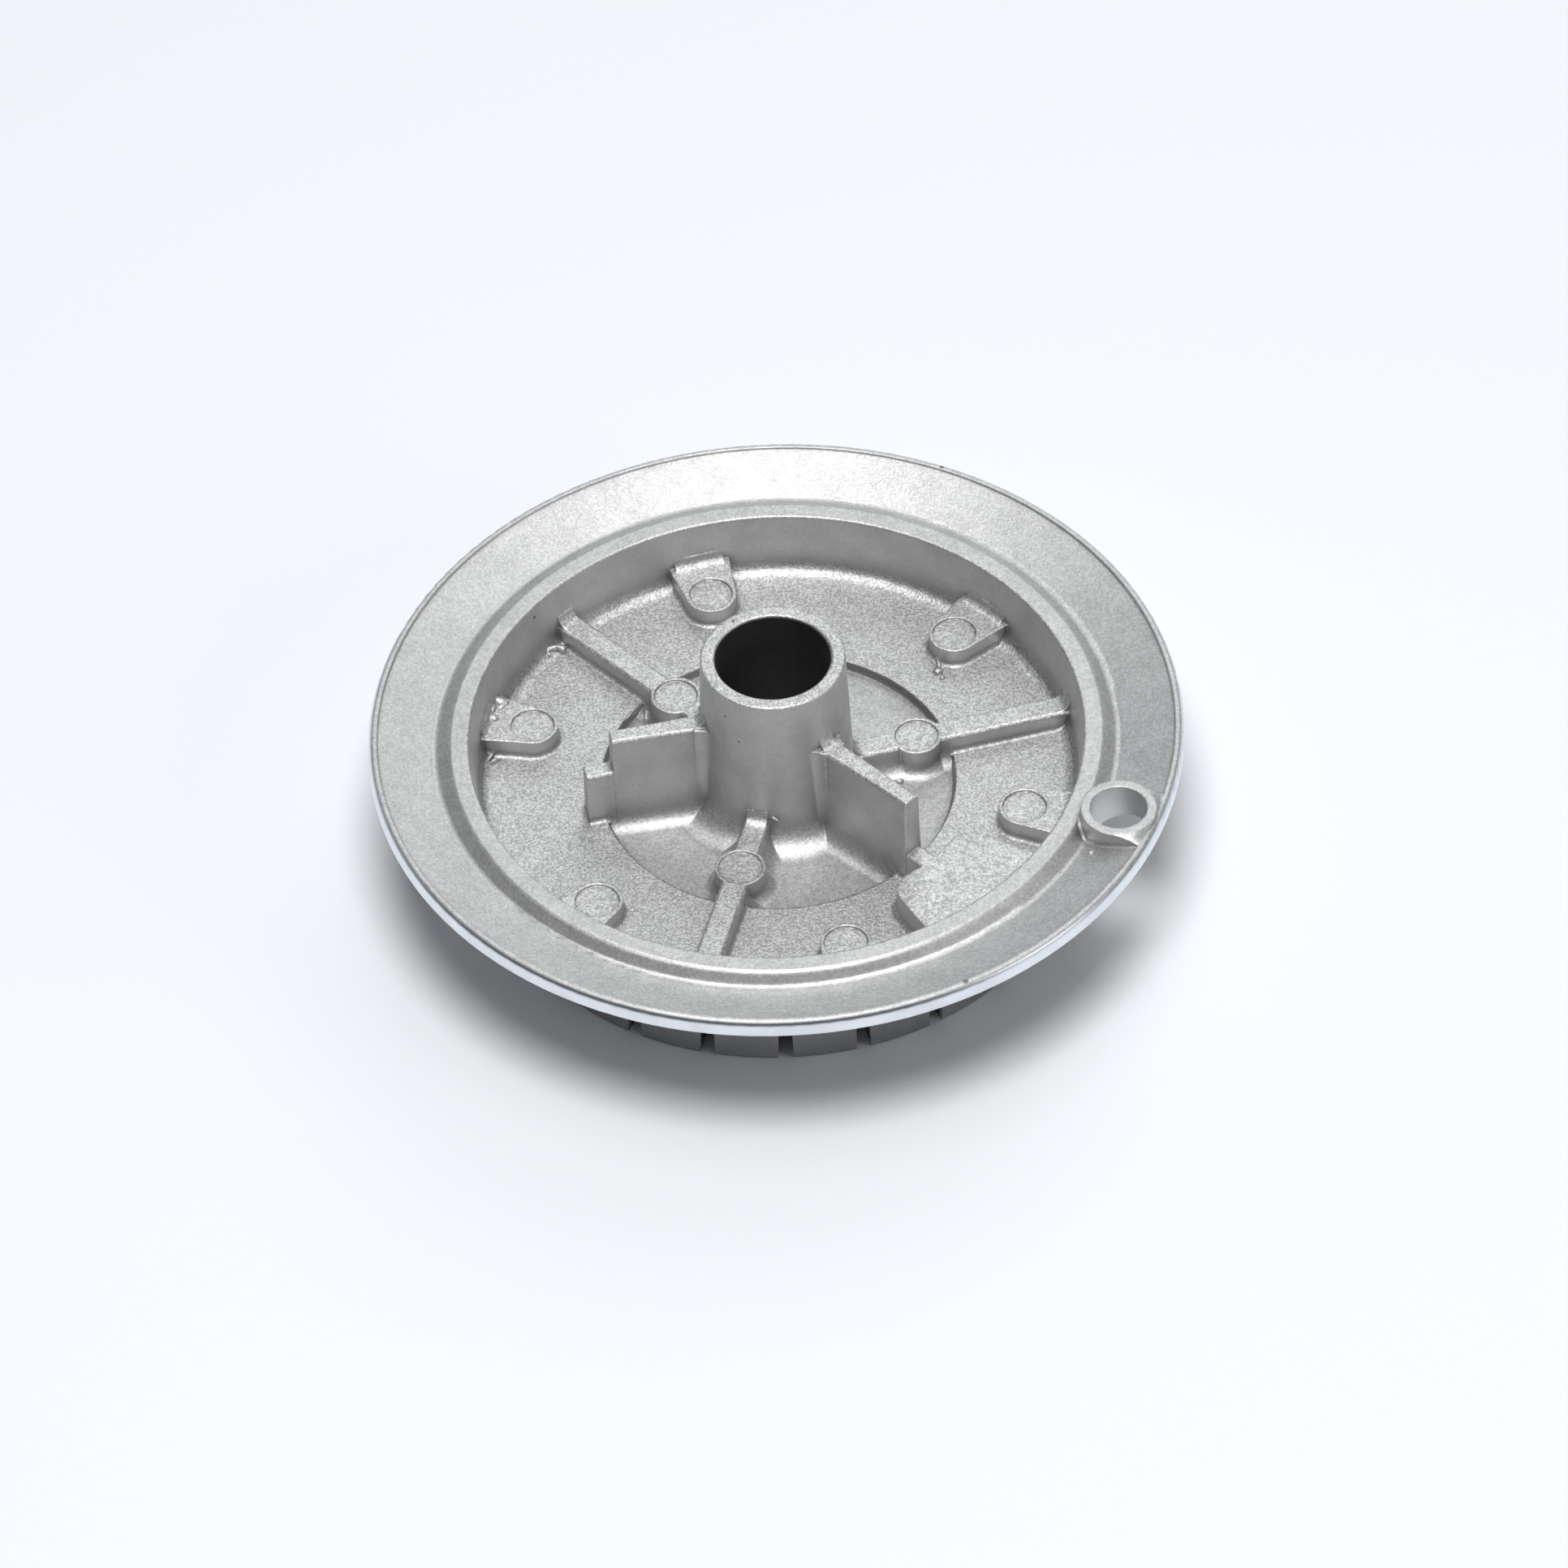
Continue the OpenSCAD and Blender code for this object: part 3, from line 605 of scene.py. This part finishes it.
def apron_grid():
    """The igniter boss runs out to the lip as a plateau with straight sides and a filleted foot.

    In u (away from the axis) and v (across), from the hole's centre, the outline is O(s): straight at
    v = -half from the lip, half a circle of radius half, and straight back at v = half. I(s) is the inner
    line: from the lip along v = 0, then round the hole. Each loop goes from I to O over the top
      z = lip + (boss - lip) d_lip / (d_lip + d_boss),
    where d is the distance from each, round the edge by edge (1 - sin t) and edge (1 - cos t), down the wall,
    over the foot by foot (1 - cos t) and foot (1 - sin t), and back below the face of the flange."""
    # In mm: half the width, radius of the inner line, and where the inner line and the sides start
    half, inner, inner_start, side_start = 4.62, 4.1, 4.95, 4.75
    # In mm: radius of the edge and the foot, and how far walls, top and foot go into the casting
    edge, foot, wall_sunk, top_sunk, foot_sunk = 0.22, 0.45, 0.4, 0.03, 0.01
    # Most of the wall's height that edge and foot take, and the least height in mm
    edge_share, foot_share, least_rise = 0.35, 0.55, 0.05
    # Points and loops, and the share of a side's points that lie on the straight start of the inner line
    side_points, bend_points, top_loops, lead = 14, 42, 9, 0.25
    tiny = 1e-6
    edge_angles = np.radians((30.0, 60.0, 90.0))
    foot_angles = np.radians((0.0, 18.0, 36.0, 54.0, 72.0, 90.0))

    straight = np.linspace(0.0, 1.0, side_points)
    bend = np.linspace(0.0, np.pi, bend_points)[1:-1]
    turn_in = np.clip((straight - lead) / (1.0 - lead), 0.0, 1.0) * np.pi / 2
    inner_u = np.where(straight < lead, inner_start - (inner_start - inner) * straight / lead,
                       inner * np.cos(turn_in))
    inner_v = inner * np.sin(turn_in)
    out_u = side_start * (1.0 - straight)
    side = np.ones(side_points)
    u_in = np.concatenate([inner_u, -inner * np.sin(bend), inner_u[::-1]])
    v_in = np.concatenate([-inner_v, -inner * np.cos(bend), inner_v[::-1]])
    u_out = np.concatenate([out_u, -half * np.sin(bend), out_u[::-1]])
    v_out = np.concatenate([-half * side, -half * np.cos(bend), half * side])
    n_u = np.concatenate([0.0 * side, -np.sin(bend), 0.0 * side])
    n_v = np.concatenate([-side, -np.cos(bend), side])
    centre_r = float(np.hypot(*IGNITER))
    lip = LIP_Z - top_sunk
    boss = BOSS_TOP - top_sunk

    def radius(u, v):
        return np.hypot(centre_r + u, v)

    def top(u, v):
        from_lip = np.clip(LIP_R - radius(u, v), 0.0, None)
        from_boss = np.clip(np.hypot(u, v) - half, 0.0, None)
        return lip + (boss - lip) * from_lip / (from_lip + from_boss + tiny)

    face = np.interp(radius(u_out, v_out), TOP_R, TOP_Z)
    crest = top(u_out, v_out)
    rise = np.clip(crest - face, least_rise, None)
    edge = np.minimum(edge, edge_share * rise)
    foot = np.minimum(foot, foot_share * rise)
    loops = []
    for share in np.linspace(0.0, 1.0, top_loops):
        u = u_in + (u_out - edge * n_u - u_in) * share
        v = v_in + (v_out - edge * n_v - v_in) * share
        loops.append((u, v, top(u, v)))
    for angle in edge_angles:
        off = edge * (1.0 - np.sin(angle))
        loops.append((u_out - off * n_u, v_out - off * n_v, crest - edge * (1.0 - np.cos(angle))))
    for angle in foot_angles:
        off = foot * (1.0 - np.cos(angle))
        u = u_out + off * n_u
        v = v_out + off * n_v
        ground = np.minimum(np.interp(radius(u, v), TOP_R, TOP_Z), crest - least_rise)
        loops.append((u, v, ground + foot * (1.0 - np.sin(angle)) - foot_sunk))
    loops.append((u_out + foot * n_u, v_out + foot * n_v, face - wall_sunk))
    loops.append((u_in, v_in, np.minimum(face, crest) - wall_sunk))
    u, v, z = (np.stack(part, axis=-1) for part in zip(*loops))
    out = IGNITER / centre_r
    x = IGNITER[0] + u * out[0] - v * out[1]
    y = IGNITER[1] + u * out[1] + v * out[0]
    return np.stack([x, y, z], axis=-1)[None]


def burr_grids():
    """Burrs: P(t, p) = C + R (a k sin t cos p, b k sin t sin p, c cos t), where C is the centre, R the turn
    about Z, a, b and c the half sizes, and k = 1 + wobble sin(3 p + 5 x) sin 2t breaks up each ellipsoid.
    Each has 12 loops of t, from 4 to 176 degrees, with 16 points of p."""
    tilt = np.radians(np.linspace(4.0, 176.0, 12))[None, :, None]
    turn = np.linspace(0.0, 2.0 * np.pi, 16, endpoint=False)[None, None, :]
    x, y, z, a, b, c, angle = (BURRS[:, i, None, None] for i in range(7))
    rough = 1.0 + BURR_WOBBLE * np.sin(3.0 * turn + 5.0 * x) * np.sin(2.0 * tilt)
    along = a * np.sin(tilt) * np.cos(turn) * rough
    across = b * np.sin(tilt) * np.sin(turn) * rough
    height = c * np.cos(tilt) + 0.0 * turn
    angle = np.radians(angle)
    return np.stack([x + along * np.cos(angle) - across * np.sin(angle),
                     y + along * np.sin(angle) + across * np.cos(angle), z + height], axis=-1)


# Operators

class FinishCasting(bpy.types.Operator):
    """Gives the casting its blasted aluminium."""

    bl_idname = "burner.finish_casting"
    bl_label = "Finish the casting"

    def execute(self, context):
        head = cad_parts[HEAD]
        head.data.materials.clear()
        head.data.materials.append(cast_aluminium(context.scene.burner_finish))
        return {"FINISHED"}


class AddApron(bpy.types.Operator):
    """Adds the plateau that joins the igniter boss to the lip."""

    bl_idname = "burner.add_apron"
    bl_label = "Add the igniter apron"

    def execute(self, context):
        add_piece("igniter_apron", apron_grid())
        return {"FINISHED"}


class AddBurrs(bpy.types.Operator):
    """Adds the small burrs that the mould left on the floor, the ribs and the pads."""

    bl_idname = "burner.add_burrs"
    bl_label = "Add the burrs"

    def execute(self, context):
        add_piece("casting_burrs", burr_grids())
        return {"FINISHED"}


class SetStage(bpy.types.Operator):
    """Makes the pale floor, the soft lights and the camera."""

    bl_idname = "burner.set_stage"
    bl_label = "Set the stage"

    def execute(self, context):
        scene = context.scene
        stage = scene.burner_stage
        scene.view_settings.view_transform = "Standard"
        self.add_floor(scene, stage)
        self.add_lights(scene, stage)
        self.add_room(scene, stage)
        self.add_camera(scene, stage)
        return {"FINISHED"}

    def add_floor(self, scene, stage):
        half = FLOOR_HALF
        corners = [(-half, -half, 0), (half, -half, 0), (half, half, 0), (-half, half, 0)]
        mesh = bpy.data.meshes.new("floor")
        mesh.from_pydata(corners, [], [(0, 1, 2, 3)])
        floor = bpy.data.objects.new("floor", mesh)
        scene.collection.objects.link(floor)
        mesh.materials.append(pale_floor(tuple(stage.floor_color)))

    def add_lights(self, scene, stage):
        """Each lamp has a name, a power, a place and a width in metres, and points at the origin."""
        lamps = (
            ("key_light", stage.key_power, (-0.02, -0.3, 1.17), 0.55),
            ("soft_light", stage.soft_power, (0.0, 0.15, 1.2), 0.7),
            ("back_light", stage.back_power, (0.28, 0.88, 0.78), 0.9),
            ("side_light", stage.side_power, (1.0, -0.45, 0.5), 0.7),
        )
        for name, power, place, size in lamps:
            lamp = bpy.data.lights.new(name, "AREA")
            lamp.energy = power
            lamp.shape = "DISK"
            lamp.size = size
            thing = bpy.data.objects.new(name, lamp)
            scene.collection.objects.link(thing)
            thing.location = place
            thing.rotation_euler = (-Vector(place)).to_track_quat("-Z", "Y").to_euler()

    def add_room(self, scene, stage):
        """The world is brighter towards the back, and white where the camera sees it."""
        world = bpy.data.worlds.new("Studio")
        scene.world = world
        world.use_nodes = True
        tree = world.node_tree
        back = tree.nodes["Background"]
        back.inputs["Color"].default_value = ROOM_COLOR
        direction = tree.nodes.new("ShaderNodeTexCoord").outputs["Generated"]
        apart = tree.nodes.new("ShaderNodeSeparateXYZ")
        link(tree, direction, apart.inputs[0])
        behind = math_node(tree, "MAXIMUM", apart.outputs[1], 0.0)
        room = math_node(tree, "MULTIPLY_ADD", behind, stage.backdrop_level, stage.room_level)
        seen = tree.nodes.new("ShaderNodeLightPath").outputs["Is Camera Ray"]
        link(tree, math_node(tree, "MAXIMUM", room, seen), back.inputs["Strength"])

    def add_camera(self, scene, stage):
        """The camera looks along +Y and down, turned by its roll, at the photograph's frame."""
        height = stage.camera_height
        roll = stage.camera_roll
        ahead = np.array([0.0, math.cos(height), -math.sin(height)])
        up = np.array([0.0, math.sin(height), math.cos(height)])
        right = np.array([1.0, 0.0, 0.0])
        right_rolled = right * math.cos(roll) + up * math.sin(roll)
        up_rolled = -right * math.sin(roll) + up * math.cos(roll)
        place = (np.array([0.0, 0.0, LIP_LEVEL]) - ahead * stage.camera_distance
                 + right_rolled * AIM_RIGHT + up_rolled * AIM_UP)
        camera = bpy.data.cameras.new("camera")
        camera.sensor_width = SENSOR_WIDTH
        camera.lens = stage.camera_lens
        camera.clip_start = CLIP_NEAR
        camera.clip_end = CLIP_FAR
        thing = bpy.data.objects.new("camera", camera)
        scene.collection.objects.link(thing)
        turn = Matrix((right_rolled, up_rolled, -ahead)).transposed().to_4x4()
        thing.matrix_world = Matrix.Translation(place) @ turn
        scene.camera = thing


class BurnerPanel(bpy.types.Panel):
    """Lists the steps and the sizes in the 3D view's sidebar."""

    bl_idname = "VIEW3D_PT_burner"
    bl_label = "Gas burner head"
    bl_space_type = "VIEW_3D"
    bl_region_type = "UI"
    bl_category = "Burner"

    def draw(self, context):
        for step in STEPS:
            self.layout.operator(step.bl_idname)
        for group in (context.scene.burner_finish, context.scene.burner_stage):
            for name in group.__annotations__:
                self.layout.prop(group, name)


STEPS = (SetStage, FinishCasting, AddApron, AddBurrs)
CLASSES = (BurnerFinish, BurnerStage, *STEPS, BurnerPanel)


def register():
    for cls in CLASSES:
        bpy.utils.register_class(cls)
    bpy.types.Scene.burner_finish = bpy.props.PointerProperty(type=BurnerFinish)
    bpy.types.Scene.burner_stage = bpy.props.PointerProperty(type=BurnerStage)


def unregister():
    del bpy.types.Scene.burner_stage
    del bpy.types.Scene.burner_finish
    for cls in reversed(CLASSES):
        bpy.utils.unregister_class(cls)


def main():
    register()
    bpy.ops.burner.set_stage()
    bpy.ops.burner.finish_casting()
    bpy.ops.burner.add_apron()
    bpy.ops.burner.add_burrs()


if __name__ == "__main__":
    main()
